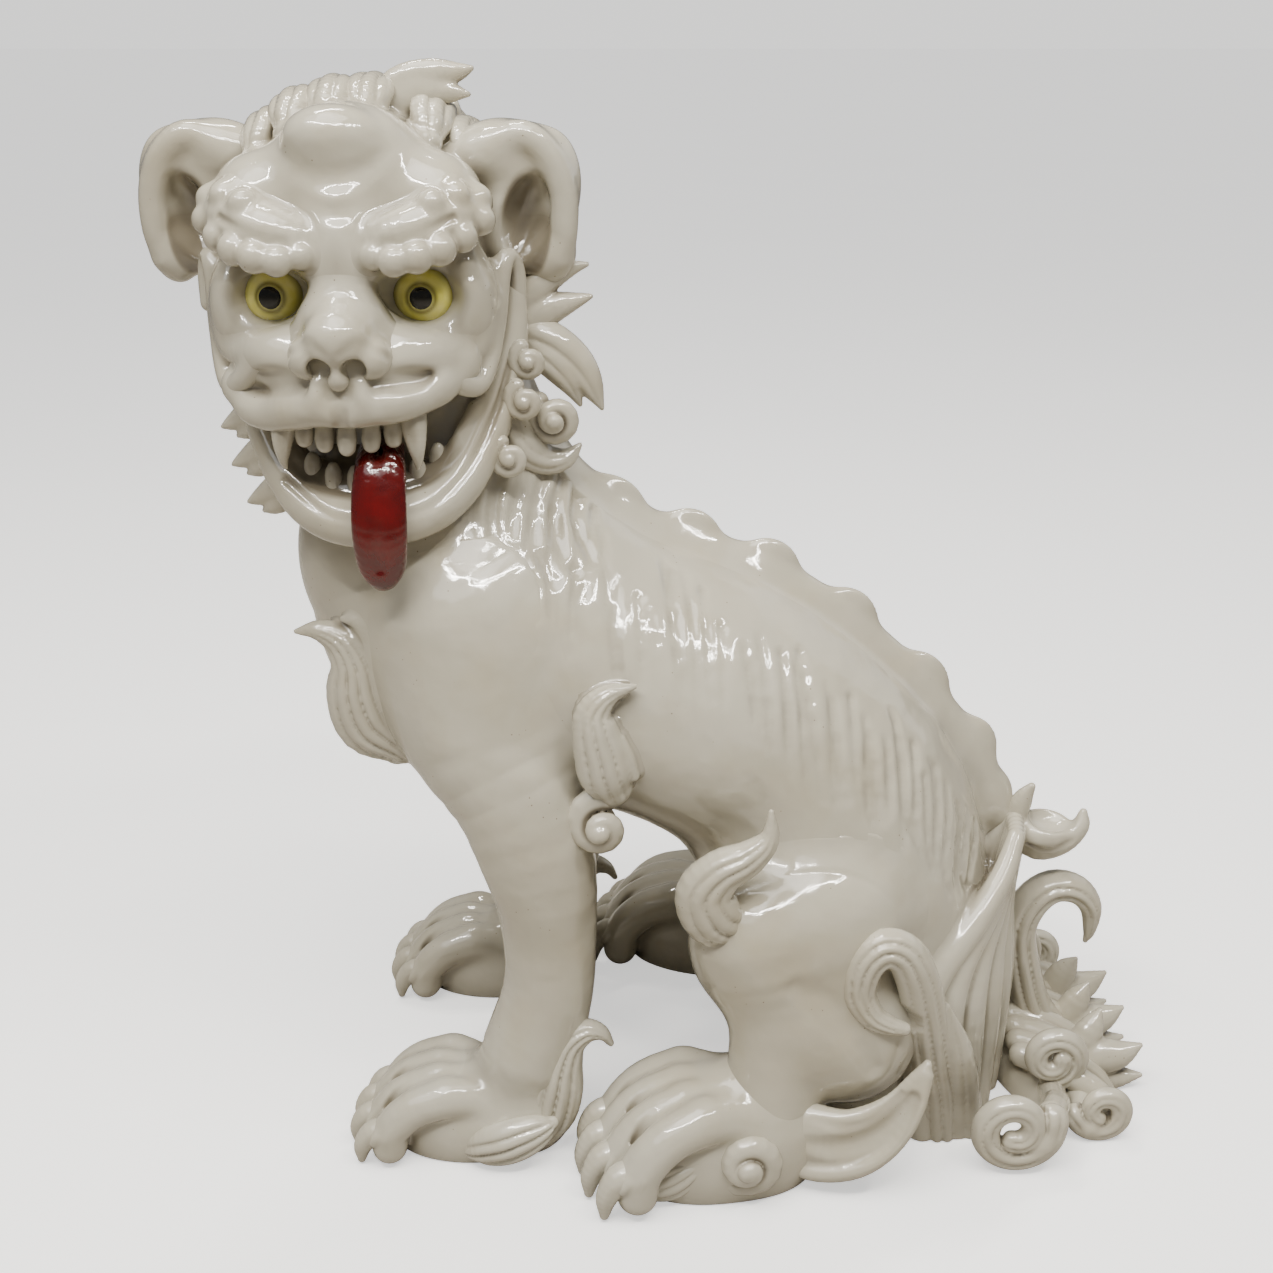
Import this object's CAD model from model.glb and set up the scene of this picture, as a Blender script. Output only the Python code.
"""Looks of the seated foo dog statue: glazed clay, sculpted piece by piece.

Every piece is shaped as a signed distance field on a grid of points, the way a
modeller adds lumps and cuts grooves, and is then turned into a closed mesh.
Shapes are written in millimetres in the statue's working frame: X to the dog's
left, Y to its rear, Z up, floor at Z = 0.  The head has a frame of its own that
looks along -Y and is turned over the dog's left shoulder.
"""
import math

import bpy
import numpy as np
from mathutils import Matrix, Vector


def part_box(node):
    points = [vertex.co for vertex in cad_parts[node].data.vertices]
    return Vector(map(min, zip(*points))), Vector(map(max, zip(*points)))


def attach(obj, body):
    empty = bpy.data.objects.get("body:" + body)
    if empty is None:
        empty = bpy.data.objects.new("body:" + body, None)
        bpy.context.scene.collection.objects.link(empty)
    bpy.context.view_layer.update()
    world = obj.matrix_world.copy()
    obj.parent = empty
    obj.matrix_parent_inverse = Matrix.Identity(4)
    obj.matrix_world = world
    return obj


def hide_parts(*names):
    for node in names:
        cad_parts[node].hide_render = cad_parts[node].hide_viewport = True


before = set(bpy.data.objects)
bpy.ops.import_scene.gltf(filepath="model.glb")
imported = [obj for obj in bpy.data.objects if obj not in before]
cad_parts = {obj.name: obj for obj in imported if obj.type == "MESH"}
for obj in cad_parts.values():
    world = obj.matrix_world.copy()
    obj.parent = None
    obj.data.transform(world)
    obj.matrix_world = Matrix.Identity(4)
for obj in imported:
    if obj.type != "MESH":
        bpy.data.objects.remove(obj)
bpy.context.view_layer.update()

TORSO_FRONT = -194.3                    # mm, foremost point of the torso in the working frame
torso_low, torso_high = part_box("torso")
ORIGIN = np.array([(torso_low[0] + torso_high[0]) / 2, torso_low[1] - TORSO_FRONT / 1000, 0.0])

HEAD_CENTRE = np.array([15.0, -147.0, 509.0])
HEAD_TURN = math.radians(89.0)
FAR = 60.0                              # mm, value of the field where nothing is near
SINK = 0.3                              # mm, how far a luted joint dips under its parent
ROOT_DEPTH = 6.0                        # mm, how far the foot of a piece reaches into its parent


# ------------------------------------------------------------------ clay tools
def smooth_min(a, b, blend):
    """Union of two fields with a rounded fillet of the given size."""
    if blend <= 0:
        return np.minimum(a, b)
    near = np.maximum(blend - np.abs(a - b), 0.0)
    return np.minimum(a, b) - near * near * (0.25 / blend)


def turn_matrix(turn):
    """Rotation about X, then Y, then Z, in degrees."""
    ax, ay, az = (math.radians(angle) for angle in turn)
    about_x = np.array([[1, 0, 0], [0, math.cos(ax), -math.sin(ax)], [0, math.sin(ax), math.cos(ax)]])
    about_y = np.array([[math.cos(ay), 0, math.sin(ay)], [0, 1, 0], [-math.sin(ay), 0, math.cos(ay)]])
    about_z = np.array([[math.cos(az), -math.sin(az), 0], [math.sin(az), math.cos(az), 0], [0, 0, 1]])
    return about_z @ about_y @ about_x


def sides(rows):
    """The same rows for the right side and for the left side."""
    return [[(side * row[0], *row[1:]) for row in rows] for side in (-1, 1)]


def through(rows, steps):
    """Rows of numbers resampled along a smooth curve through them."""
    rows = np.array(rows, float)
    ends = np.vstack([2 * rows[0] - rows[1], rows, 2 * rows[-1] - rows[-2]])
    out = []
    for index in range(len(rows) - 1):
        p0, p1, p2, p3 = ends[index:index + 4]
        for step in range(steps):
            t = step / steps
            out.append(0.5 * (2 * p1 + (p2 - p0) * t + (2 * p0 - 5 * p1 + 4 * p2 - p3) * t * t
                + (3 * p1 - p0 - 3 * p2 + p3) * t ** 3))
    out.append(rows[-1])
    return np.array(out)


class Egg:
    """Ellipsoid lump."""

    def __init__(self, centre, radii, turn=(0, 0, 0)):
        self.centre = np.array(centre, np.float32)
        self.radii = np.array(radii, np.float32)
        self.turned = any(turn)
        self.matrix = turn_matrix(turn).astype(np.float32)
        reach = self.radii
        if self.turned:
            reach = np.sqrt((self.matrix ** 2) @ (self.radii ** 2))
        self.low = self.centre - reach
        self.high = self.centre + reach

    def distance(self, x, y, z):
        local = [x - self.centre[0], y - self.centre[1], z - self.centre[2]]
        if self.turned:
            m = self.matrix
            local = [m[0, i] * local[0] + m[1, i] * local[1] + m[2, i] * local[2] for i in range(3)]
        scaled = sum((value / radius) ** 2 for value, radius in zip(local, self.radii))
        slope = sum((value / radius ** 2) ** 2 for value, radius in zip(local, self.radii))
        inner = np.sqrt(scaled + 1e-12 * self.radii.min() ** 2)
        return inner * (inner - 1.0) / np.sqrt(slope + 1e-12)


def ball(centre, radius):
    return Egg(centre, (radius, radius, radius))


def close_by(x, y, z, a, b, radius, band=12.0):
    """Slices of the sample points near one stretch of a coil, or None."""
    reach = radius + band
    low, high = np.minimum(a[:3], b[:3]) - reach, np.maximum(a[:3], b[:3]) + reach
    cuts = []
    for axis, line in enumerate((x.ravel(), y.ravel(), z.ravel())):
        start, stop = np.searchsorted(line, (low[axis], high[axis]))
        if stop <= start:
            return None
        cuts.append(slice(int(start), int(stop)))
    return tuple(cuts)


class Limb:
    """Round coil through rows (x, y, z, radius)."""

    def __init__(self, rows, steps=4):
        self.rows = through(rows, steps).astype(np.float32) if len(rows) > 2 else np.array(rows, np.float32)
        self.low = (self.rows[:, :3] - self.rows[:, 3:4]).min(axis=0)
        self.high = (self.rows[:, :3] + self.rows[:, 3:4]).max(axis=0)

    def distance(self, x, y, z):
        best = np.full((x.size, y.size, z.size), FAR, np.float32)
        for a, b in zip(self.rows[:-1], self.rows[1:]):
            near = close_by(x, y, z, a, b, max(a[3], b[3]))
            if near is None:
                continue
            run = b[:3] - a[:3]
            px, py, pz = x[near[0]] - a[0], y[:, near[1]] - a[1], z[:, :, near[2]] - a[2]
            t = np.clip((px * run[0] + py * run[1] + pz * run[2]) / max(float(run @ run), 1e-6), 0, 1)
            gap = np.sqrt((px - t * run[0]) ** 2 + (py - t * run[1]) ** 2 + (pz - t * run[2]) ** 2)
            gap -= a[3] + t * (b[3] - a[3])
            best[near] = np.minimum(best[near], gap)
        return best


class Strap:
    """Flattened coil through rows (x, y, z, half width, half thickness), fluted if asked."""

    def __init__(self, rows, face=(1, 0, 0), flutes=0, depth=0.3, steps=4):
        self.rows = through(rows, steps).astype(np.float32)
        self.rows[:, 3:] = np.maximum(self.rows[:, 3:], 0.8)
        self.face = np.array(face, np.float32) / np.linalg.norm(face).astype(np.float32)
        self.flutes = flutes
        self.depth = depth
        reach = self.rows[:, 3:].max(axis=1, keepdims=True)
        self.low = (self.rows[:, :3] - reach).min(axis=0)
        self.high = (self.rows[:, :3] + reach).max(axis=0)

    def distance(self, x, y, z):
        best = np.full((x.size, y.size, z.size), FAR, np.float32)
        closest = np.full_like(best, FAR * FAR)
        nx, ny, nz = self.face
        for a, b in zip(self.rows[:-1], self.rows[1:]):
            near = close_by(x, y, z, a, b, max(a[3:].max(), b[3:].max()))
            if near is None:
                continue
            run = b[:3] - a[:3]
            length = max(float(np.linalg.norm(run)), 1e-4)
            side = np.cross(self.face, run / length)
            px, py, pz = x[near[0]] - a[0], y[:, near[1]] - a[1], z[:, :, near[2]] - a[2]
            t = np.clip((px * run[0] + py * run[1] + pz * run[2]) / length ** 2, 0, 1)
            ox, oy, oz = px - t * run[0], py - t * run[1], pz - t * run[2]
            rise = ox * nx + oy * ny + oz * nz
            away = ox * ox + oy * oy + oz * oz
            flat = np.maximum(away - rise * rise, 0.0)
            width = a[3] + t * (b[3] - a[3])
            thick = a[4] + t * (b[4] - a[4])
            if self.flutes:
                across = np.clip((ox * side[0] + oy * side[1] + oz * side[2]) / width, -1, 1)
                lobe = (across * 0.5 + 0.5) * self.flutes
                lobe = lobe - np.floor(lobe) - 0.5
                thick = thick * (1 - self.depth + self.depth * np.sqrt(1.0 - 3.3 * lobe * lobe))
            inner = np.sqrt(flat / width ** 2 + (rise / thick) ** 2 + 1e-9)
            slope = np.sqrt(flat / width ** 4 + rise ** 2 / thick ** 4 + 1e-12)
            gap = inner * (inner - 1.0) / slope
            if self.flutes:
                nearer = away < closest[near]
                best[near] = np.where(nearer, gap, best[near])
                closest[near] = np.where(nearer, away, closest[near])
            else:
                best[near] = np.minimum(best[near], gap)
        return best


class Lattice:
    """Regular grid of sample points."""

    def __init__(self, low, high, step):
        self.step = step
        self.first = np.floor(np.array(low) / step).astype(int)
        last = np.ceil(np.array(high) / step).astype(int)
        self.shape = tuple(int(n) for n in last - self.first + 1)

    def window(self, low, high):
        """Slices of the part of the grid inside a box, or None."""
        cuts = []
        for axis in range(3):
            start = max(int(math.floor(low[axis] / self.step)) - self.first[axis], 0)
            stop = min(int(math.ceil(high[axis] / self.step)) - self.first[axis] + 1, self.shape[axis])
            if stop <= start:
                return None
            cuts.append(slice(int(start), int(stop)))
        return tuple(cuts)

    def whole(self):
        return tuple(slice(0, count) for count in self.shape)

    def axes(self, window):
        """Coordinates of the window's points, ready to broadcast."""
        shapes = ((-1, 1, 1), (1, -1, 1), (1, 1, -1))
        axes = []
        for axis in range(3):
            index = np.arange(window[axis].start, window[axis].stop) + self.first[axis]
            axes.append((index * self.step).astype(np.float32).reshape(shapes[axis]))
        return axes

    def sample(self, field, points):
        """Field values between grid points."""
        place = points / self.step - self.first
        limit = np.array(self.shape) - 1.001
        place = np.clip(place, 0, limit)
        cell = place.astype(int)
        part = (place - cell).astype(np.float32)
        flat = field.reshape(-1)
        jump = (self.shape[1] * self.shape[2], self.shape[2], 1)
        corner = cell[:, 0] * jump[0] + cell[:, 1] * jump[1] + cell[:, 2]
        fx, fy, fz = part[:, 0], part[:, 1], part[:, 2]
        total = 0
        for dx in (0, 1):
            for dy in (0, 1):
                for dz in (0, 1):
                    share = (fx if dx else 1 - fx) * (fy if dy else 1 - fy) * (fz if dz else 1 - fz)
                    total = total + share * flat[corner + dx * jump[0] + dy * jump[1] + dz * jump[2]]
        return total


class Form:
    """A shape built up by adding and cutting, kept as a list of moves."""

    def __init__(self):
        self.moves = []

    def add(self, shape, blend=0.0):
        self.moves.append((shape, blend, False))
        return self

    def cut(self, shape, blend=0.0):
        self.moves.append((shape, blend, True))
        return self

    def box(self):
        added = [shape for shape, blend, is_cut in self.moves if not is_cut]
        return (np.min([shape.low for shape in added], axis=0),
            np.max([shape.high for shape in added], axis=0))

    def field(self, lattice, band=9.0):
        """Signed distance on the grid, true within the band round the surface."""
        field = np.full(lattice.shape, FAR, np.float32)
        for shape, blend, is_cut in self.moves:
            pad = band + blend
            window = lattice.window(shape.low - pad, shape.high + pad)
            if window is None:
                continue
            gap = shape.distance(*lattice.axes(window)).astype(np.float32)
            if is_cut:
                field[window] = -smooth_min(-field[window], gap, blend)
            else:
                field[window] = smooth_min(field[window], gap, blend)
        return field


# ------------------------------------------------------------------ meshing
CORNERS = np.array([(i, j, k) for i in (0, 1) for j in (0, 1) for k in (0, 1)])
EDGES = [(a, b) for a in range(8) for b in range(a + 1, 8) if abs(CORNERS[a] - CORNERS[b]).sum() == 1]


def skin(field, lattice):
    """Closed quad mesh of the surface where the field is zero: points and quads."""
    inside = field < 0
    filled = np.zeros(tuple(n - 1 for n in lattice.shape), np.int8)
    for i, j, k in CORNERS:
        filled += inside[i:lattice.shape[0] - 1 + i, j:lattice.shape[1] - 1 + j, k:lattice.shape[2] - 1 + k]
    active = (filled > 0) & (filled < 8)
    cells = np.argwhere(active)
    number = np.full(active.shape, -1, np.int32)
    number[active] = np.arange(len(cells))
    values = [field[cells[:, 0] + i, cells[:, 1] + j, cells[:, 2] + k] for i, j, k in CORNERS]
    total = np.zeros((len(cells), 3))
    count = np.zeros(len(cells))
    for a, b in EDGES:
        crossing = (values[a] < 0) != (values[b] < 0)
        t = np.where(crossing, values[a] / np.where(crossing, values[a] - values[b], 1), 0)
        total += crossing[:, None] * (CORNERS[a] + t[:, None] * (CORNERS[b] - CORNERS[a]))
        count += crossing
    points = (cells + total / count[:, None] + lattice.first) * lattice.step
    quads = []
    for axis in range(3):
        one, two = (axis + 1) % 3, (axis + 2) % 3
        low = [slice(None)] * 3
        high = [slice(None)] * 3
        low[axis], high[axis] = slice(0, -1), slice(1, None)
        low[one] = high[one] = low[two] = high[two] = slice(1, -1)
        near, far = inside[tuple(low)], inside[tuple(high)]
        spots = np.argwhere(near != far)
        outward = near[tuple(spots.T)]
        spots[:, one] += 1
        spots[:, two] += 1
        ring = []
        for step_one, step_two in ((-1, -1), (0, -1), (0, 0), (-1, 0)):
            cell = spots.copy()
            cell[:, one] += step_one
            cell[:, two] += step_two
            ring.append(number[tuple(cell.T)])
        ring = np.stack(ring, axis=1)
        ring[~outward] = ring[~outward][:, ::-1]
        quads.append(ring)
    return settle(points, field, lattice), np.vstack(quads)


def slope_at(points, field, lattice):
    """Outward direction of the field at points, length one."""
    reach = lattice.step * 0.9
    slope = np.empty_like(points)
    for axis in range(3):
        move = np.zeros(3)
        move[axis] = reach
        slope[:, axis] = lattice.sample(field, points + move) - lattice.sample(field, points - move)
    return slope / np.maximum(np.linalg.norm(slope, axis=1, keepdims=True), 1e-6)


def settle(points, field, lattice):
    """Points pulled on to the true surface."""
    for _ in range(2):
        gap = lattice.sample(field, points)
        gap = np.clip(gap, -0.4 * lattice.step, 0.4 * lattice.step)
        points = points - slope_at(points, field, lattice) * gap[:, None]
    return points


def hollowness(points, field, lattice):
    """How deep in a recess each point lies, 0 in the open to 1 in a groove."""
    outward = slope_at(points, field, lattice)
    pooled = 0
    for reach in (2.5, 6.0):
        gap = lattice.sample(field, points + outward * reach)
        pooled = pooled + np.clip(1.15 - gap / reach, 0, 1)
    return np.clip(pooled * 0.5, 0, 1)


class Piece:
    """Points, quads and recess value of one piece of the statue."""

    def __init__(self, points, quads, pool):
        self.points = points
        self.quads = quads
        self.pool = pool

    def mirrored(self):
        return Piece(self.points * (-1, 1, 1), self.quads[:, ::-1], self.pool)

    def on_head(self):
        cosine, sine = math.cos(HEAD_TURN), math.sin(HEAD_TURN)
        x, y, z = self.points.T
        turned = np.stack([cosine * x - sine * y, sine * x + cosine * y, z], axis=1)
        return Piece(turned + HEAD_CENTRE, self.quads, self.pool)


def joined(pieces):
    """Several pieces of one node as one mesh."""
    points, quads, pool, start = [], [], [], 0
    for piece in pieces:
        points.append(piece.points)
        quads.append(piece.quads + start)
        pool.append(piece.pool)
        start += len(piece.points)
    return Piece(np.vstack(points), np.vstack(quads), np.concatenate(pool))


def both_sides(piece):
    return joined([piece, piece.mirrored()])


def sculpt(form, step, parent=None, fillet=4.0, floor=True):
    """Mesh of a form; with a parent, its foot is drawn into a fillet on the parent."""
    low, high = form.box()
    margin = 2.5 * step + (fillet if parent else 0)
    lattice = Lattice(low - margin, high + margin, step)
    field = form.field(lattice)
    if parent is not None:
        ground = parent.field(lattice)
        drawn = smooth_min(field, ground + SINK, fillet)
        field = np.maximum(drawn, field - fillet - 0.5)
        field = np.maximum(field, -ground - ROOT_DEPTH)
    if floor:
        field = np.maximum(field, -lattice.axes(lattice.whole())[2])
    points, quads = skin(field, lattice)
    return Piece(points, quads, hollowness(points, field, lattice))


def engraved(field, lattice, lines, radius, side=1):
    """Grooves cut along lines (y, z) drawn on the side of a form."""
    xs = lattice.axes(lattice.whole())[0].ravel()
    inside = field < 0
    for line in lines:
        rows = []
        for y, z, share in line:
            j = int(round(y / lattice.step)) - lattice.first[1]
            k = int(round(z / lattice.step)) - lattice.first[2]
            if not (0 <= j < lattice.shape[1] and 0 <= k < lattice.shape[2]):
                continue
            column = np.flatnonzero(inside[:, j, k])
            if not len(column):
                continue
            i = column[-1] if side > 0 else column[0]
            if 0 < i < len(xs) - 1:
                here, beyond = float(field[i, j, k]), float(field[i + side, j, k])
                skin_x = xs[i] + side * lattice.step * here / (here - beyond)
                rows.append((skin_x + side * radius * (1.55 - share), y, z, radius))
        if len(rows) < 3:
            continue
        groove = Limb(rows, steps=2)
        window = lattice.window(groove.low - 8, groove.high + 8)
        gap = groove.distance(*lattice.axes(window))
        field[window] = -smooth_min(-field[window], gap, 3.0)
    return field


def spun(rows, pivot, angle):
    """Rows of points turned about an upright axis through the pivot (x, y)."""
    rows = np.array(rows, float)
    cosine, sine = math.cos(math.radians(angle)), math.sin(math.radians(angle))
    x, y = rows[:, 0] - pivot[0], rows[:, 1] - pivot[1]
    rows[:, 0] = pivot[0] + cosine * x - sine * y
    rows[:, 1] = pivot[1] + sine * x + cosine * y
    return rows


def raised(axis, lift, across=0.0, up=0.0):
    """Offset of a point lifted out of the dog's side (x) or out of its face (y)."""
    return np.array((lift, across, up) if axis == "x" else (across, -lift, up))


def flat_spiral(centre, outer, turns, tube, start, rise=0.0, inner=0.25, axis="x"):
    """Rows of a spiral coil in the plane across the axis; start in degrees."""
    rows = []
    steps = int(abs(turns) * 14)
    for step in range(steps + 1):
        share = step / steps
        angle = math.radians(start + 360 * turns * share)
        radius = outer * (1 - (1 - inner) * share)
        spot = centre + raised(axis, rise * share, radius * math.cos(angle), radius * math.sin(angle))
        rows.append((*spot, tube * (1 - 0.35 * share)))
    return rows


# ------------------------------------------------------------------ body
SPINE = [(-138, 452, 48, 38), (-124, 425, 66, 46), (-116, 388, 76, 56), (-97, 322, 93, 80),
    (-32, 282, 86, 96), (35, 258, 82, 100), (86, 222, 82, 100), (124, 178, 82, 96),
    (142, 105, 80, 90), (149, 40, 74, 84), (149, -30, 74, 84)]
CREST_TOPS = [(-16, 386, 27), (31, 366, 24), (77, 348, 24), (123, 318, 25), (167, 278, 26),
    (202, 236, 22), (219, 200, 16)]


def torso_form():
    form = Form()
    form.add(Strap([(0, y, z, along, across) for y, z, along, across in SPINE], steps=3))
    form.add(Egg((0, -126, 270), (50, 44, 66), (12, 0, 0)), 24)
    for side in (-1, 1):
        form.add(Egg((side * 56, -88, 290), (38, 48, 66), (-14, 0, 0)), 32)
        form.add(Egg((side * 58, 112, 150), (46, 68, 84), (24, 0, 0)), 24)
        form.add(Egg((side * 46, 30, 248), (50, 70, 48), (-32, 0, 0)), 20)
    return form


def hair_strands():
    """Lines (y, z, share of depth) of the combed coat on the flank and the neck."""
    crest = np.array([(-98, 462), (-72, 440), (-48, 415), (-14, 384), (30, 354), (74, 334),
        (116, 300), (152, 262), (182, 220), (200, 186)], float)
    belly = np.array([(-90, 372), (-58, 335), (-32, 296), (12, 262), (62, 240), (102, 222),
        (142, 200), (174, 176), (194, 158), (206, 146)], float)
    random = np.random.default_rng(11)
    lines = []
    for index in range(48):
        place = (index + random.uniform(-0.35, 0.35)) / 48 * (len(crest) - 1)
        place = min(max(place, 0), len(crest) - 1.001)
        cell, part = int(place), place - int(place)
        top = crest[cell] * (1 - part) + crest[cell + 1] * part
        foot = belly[cell] * (1 - part) + belly[cell + 1] * part
        begin, end = random.uniform(0.16, 0.40), random.uniform(0.66, 1.08)
        sway, wave = random.uniform(3.0, 7.0), random.uniform(0.6, 1.0)
        depth = random.uniform(0.45, 1.0)
        run = (foot - top) / np.linalg.norm(foot - top)
        aside = np.array((-run[1], run[0]))
        line = []
        for step in range(15):
            t = begin + (end - begin) * step / 14
            bend = sway * math.sin(2 * math.pi * wave * t + 0.6)
            y, z = top + (foot - top) * t + aside * bend
            line.append((y, z, depth * math.sin(math.pi * (step + 0.5) / 15) ** 0.6))
        lines.append(line)
    return lines


def neck_strands():
    """Long S-shaped locks running down the neck."""
    lines = []
    for index in range(6):
        y = -92 + 11 * index
        reach = 80 - 6 * abs(index - 2)
        lines.append([(y + 6 * math.sin(t * 6.0 + 0.4) + 14 * t, 432 - 3 * index - reach * t,
            0.6 + 0.4 * math.sin(math.pi * t)) for t in np.linspace(0, 1, 14)])
    return lines


def torso():
    """Body of the dog with the combed coat cut into both flanks."""
    form = torso_form()
    low, high = form.box()
    lattice = Lattice(low - 6, high + 6, 2.1)
    field = form.field(lattice)
    field = np.maximum(field, -lattice.axes(lattice.whole())[2])
    for side in (-1, 1):
        engraved(field, lattice, hair_strands(), 2.5, side)
        engraved(field, lattice, neck_strands(), 3.2, side)
    points, quads = skin(field, lattice)
    return Piece(points, quads, hollowness(points, field, lattice))


def dorsal_crest(parent):
    """Thin fin along the spine with seven rounded scallops."""
    form = Form()
    fin = [(0, y, top - 22, 13, 9) for y, top, radius in CREST_TOPS]
    form.add(Strap([(0, -60, 404, 9, 7)] + fin + [(0, 224, 176, 8, 7)], steps=3))
    for y, top, radius in CREST_TOPS:
        form.add(Egg((0, y - 3, top - radius + 2), (6.5, radius * 0.92, radius), (-24, 0, 0)), 5)
    return sculpt(form, 1.5, parent, 16)


class Paw:
    """Proportions of a paw with four toes, the tips at (x, toe), turned outwards by spread."""

    def __init__(self, x, toe, height, length, spread):
        self.x, self.toe, self.height, self.length, self.spread = x, toe, height, length, spread
        self.wide = 0.5 + height / 120
        self.pivot = (x, toe + length * 0.5)

    def rows(self, side, back, shares, swell=1.0):
        """Rows of a coil along a toe; shares are (aside, along, up, radius)."""
        return spun([(self.x + side * aside * self.wide, self.toe + along * self.length + back,
            self.height * up, radius * swell) for aside, along, up, radius in shares],
            self.pivot, self.spread)

    def claw(self, side):
        return self.rows(side, 5 * abs(side), [(17.5, 0.13, 0.40, 8.0), (17.8, 0.055, 0.36, 7.4),
            (18.2, 0.008, 0.22, 5.6), (18.2, -0.002, 0.06, 2.6)], self.wide)

    def claws(self):
        """Four hooked claws."""
        return joined([sculpt(Form().add(Limb(self.claw(side))), 0.9) for side in TOES])

    def form(self):
        """Pad, four knuckled toes and the tendons behind them."""
        form = Form()
        back = self.rows(0, 0, [(0, 0.58, 0.30, 0)])[0]
        form.add(Egg(back[:3], (32 * self.wide, self.length * 0.42, self.height * 0.62),
            (8, 0, self.spread)))
        for side in TOES:
            root = self.rows(side, 0, [(11, 0.62, 0.62, 11)], self.wide)
            toe = self.rows(side, 5 * abs(side), [(14.5, 0.42, 0.72, 12), (16.5, 0.26, 0.64, 11.6),
                (17.5, 0.15, 0.42, 11.2), (17.5, 0.13, 0.20, 10.5)], self.wide)
            form.add(Limb(np.vstack([root, toe])), 8.0 if side == TOES[0] else 4.0)
            form.add(ball(toe[0][:3] + (0, -4, 2), 10 * self.wide), 5)
        for side in (-1, 0, 1):
            form.cut(Limb(self.rows(side, 0, [(17.5, 0.12, 0.20, 0.8), (17, 0.26, 0.86, 1.3),
                (14, 0.46, 0.96, 1.2), (10, 0.60, 0.99, 0.6)])), 5)
        return form

    def add_claw_beds(self, form):
        """Cuticle folds round the root of each claw."""
        for side in TOES:
            rows = self.claw(side)
            for share, grow in ((0.0, 3.4), (0.75, 2.0)):
                middle = rows[0] * (1 - share) + rows[1] * share
                form.add(Egg(middle[:3], (middle[3] + grow, 4.2, middle[3] + grow),
                    (-24, 0, self.spread)), 1.6)


TOES = (-1.5, -0.5, 0.5, 1.5)
FORE_PAW = Paw(88, -169, 58, 128, 0)
HIND_PAW = Paw(122, -33, 74, 146, 12)


def foreleg(parent):
    form = FORE_PAW.form()
    form.add(Limb([(54, -96, 316, 42), (66, -86, 262, 44), (78, -68, 225, 37), (85, -54, 182, 31),
        (87, -50, 135, 27), (88, -52, 100, 26.5), (88, -62, 62, 29)], steps=3), 16)
    form.add(Egg((88, -60, 24), (27, 22, 26)), 10)
    form.add(Egg((100, -58, 200), (14, 26, 46), (12, 0, 0)), 16)
    FORE_PAW.add_claw_beds(form)
    return sculpt(form, 1.5, parent, 16)


def haunch(parent):
    """Rounded thigh with the calf and the short shin."""
    form = Form()
    form.add(Egg((90, 94, 144), (44, 64, 52), (26, 0, 0)))
    form.add(Egg((108, 64, 144), (27, 33, 38)), 12)
    form.add(Limb([(108, 68, 150, 32), (112, 76, 116, 27), (116, 78, 84, 25),
        (118, 76, 48, 27)], steps=3), 14)
    form.add(Egg((107, 118, 88), (28, 44, 48), (14, 0, 0)), 16)
    form.add(Egg((122, 96, 98), (16, 20, 36), (30, 0, 0)), 10)
    form.cut(Limb([(141, 88, 134, 1), (142, 100, 128, 4.5), (141, 114, 114, 5.5), (138, 126, 96, 4),
        (134, 134, 78, 1.5)]), 10)
    return sculpt(form, 1.6, parent, 14)


def hind_paw():
    form = HIND_PAW.form()
    form.add(Egg((118, 68, 30), (30, 38, 44)), 14)
    HIND_PAW.add_claw_beds(form)
    return sculpt(form, 1.5)


def tuft(lobes, parent=None, fillet=5, step=1.1, blend=2.0, face=(1, 0, 0),
        flutes=0, depth=0.35, floor=True):
    """Flame tuft pressed together from tapering locks."""
    form = Form()
    for lobe in lobes:
        form.add(Strap(lobe, face, flutes, depth), blend)
    return sculpt(form, step, parent, fillet, floor)


def chest_tufts(parent):
    lobes = [[(56, -136, 244, 12, 12), (58, -151, 257, 19, 14), (59, -157, 276, 18, 14),
        (58, -158, 294, 14, 13),
        (57, -165, 307, 10, 10), (56, -177, 313, 6, 7), (55, -190, 312, 1.5, 2)],
        [(60, -146, 298, 5, 8), (61, -146, 311, 6, 7), (61, -154, 320, 4, 5), (60, -163, 321, 1.5, 2)]]
    return both_sides(tuft(lobes, parent, flutes=5))


def elbow_tufts(parent):
    lobes = [[(100, -14, 238, 12, 11), (103, -17, 247, 15, 13), (104, -19, 258, 15, 13),
        (104, -22, 271, 13, 12),
        (103, -23, 283, 10, 10), (102, -15, 293, 6, 7), (100, -1, 297, 1.5, 2)],
        [(101, -2, 246, 4, 7), (103, -6, 257, 5, 7), (103, -8, 268, 2, 3)]]
    return both_sides(tuft(lobes, parent, flutes=4))


def snail(centre, outer, tube, turns, start, rise, axis="x", step=1.0, parent=None):
    """Coil rolled up like a snail shell."""
    rows = flat_spiral(centre, outer, turns, tube, start, rise, inner=0.12, axis=axis)
    form = Form().add(Limb(rows, steps=1), 0.8)
    form.add(ball(centre + raised(axis, -2), outer * 0.6), 1.0)
    form.add(ball(centre + raised(axis, rise), tube * 0.75), 1.0)
    return sculpt(form, step, parent, 4, floor=axis == "x")


def elbow_curls(parent):
    return both_sides(snail((101, -20, 217), 14.5, 7.6, 1.35, 80, 15, parent=parent))


def heel_tufts():
    lobes = [[(100, -56, 12, 10, 12), (103, -50, 28, 15, 13), (104, -46, 46, 15, 13),
        (103, -43, 62, 12, 12),
        (102, -38, 75, 9, 10), (101, -29, 82, 7, 8), (100, -20, 80, 4, 6), (100, -15, 73, 2, 3)]]
    return both_sides(tuft(lobes, flutes=4, depth=0.45))


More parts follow.
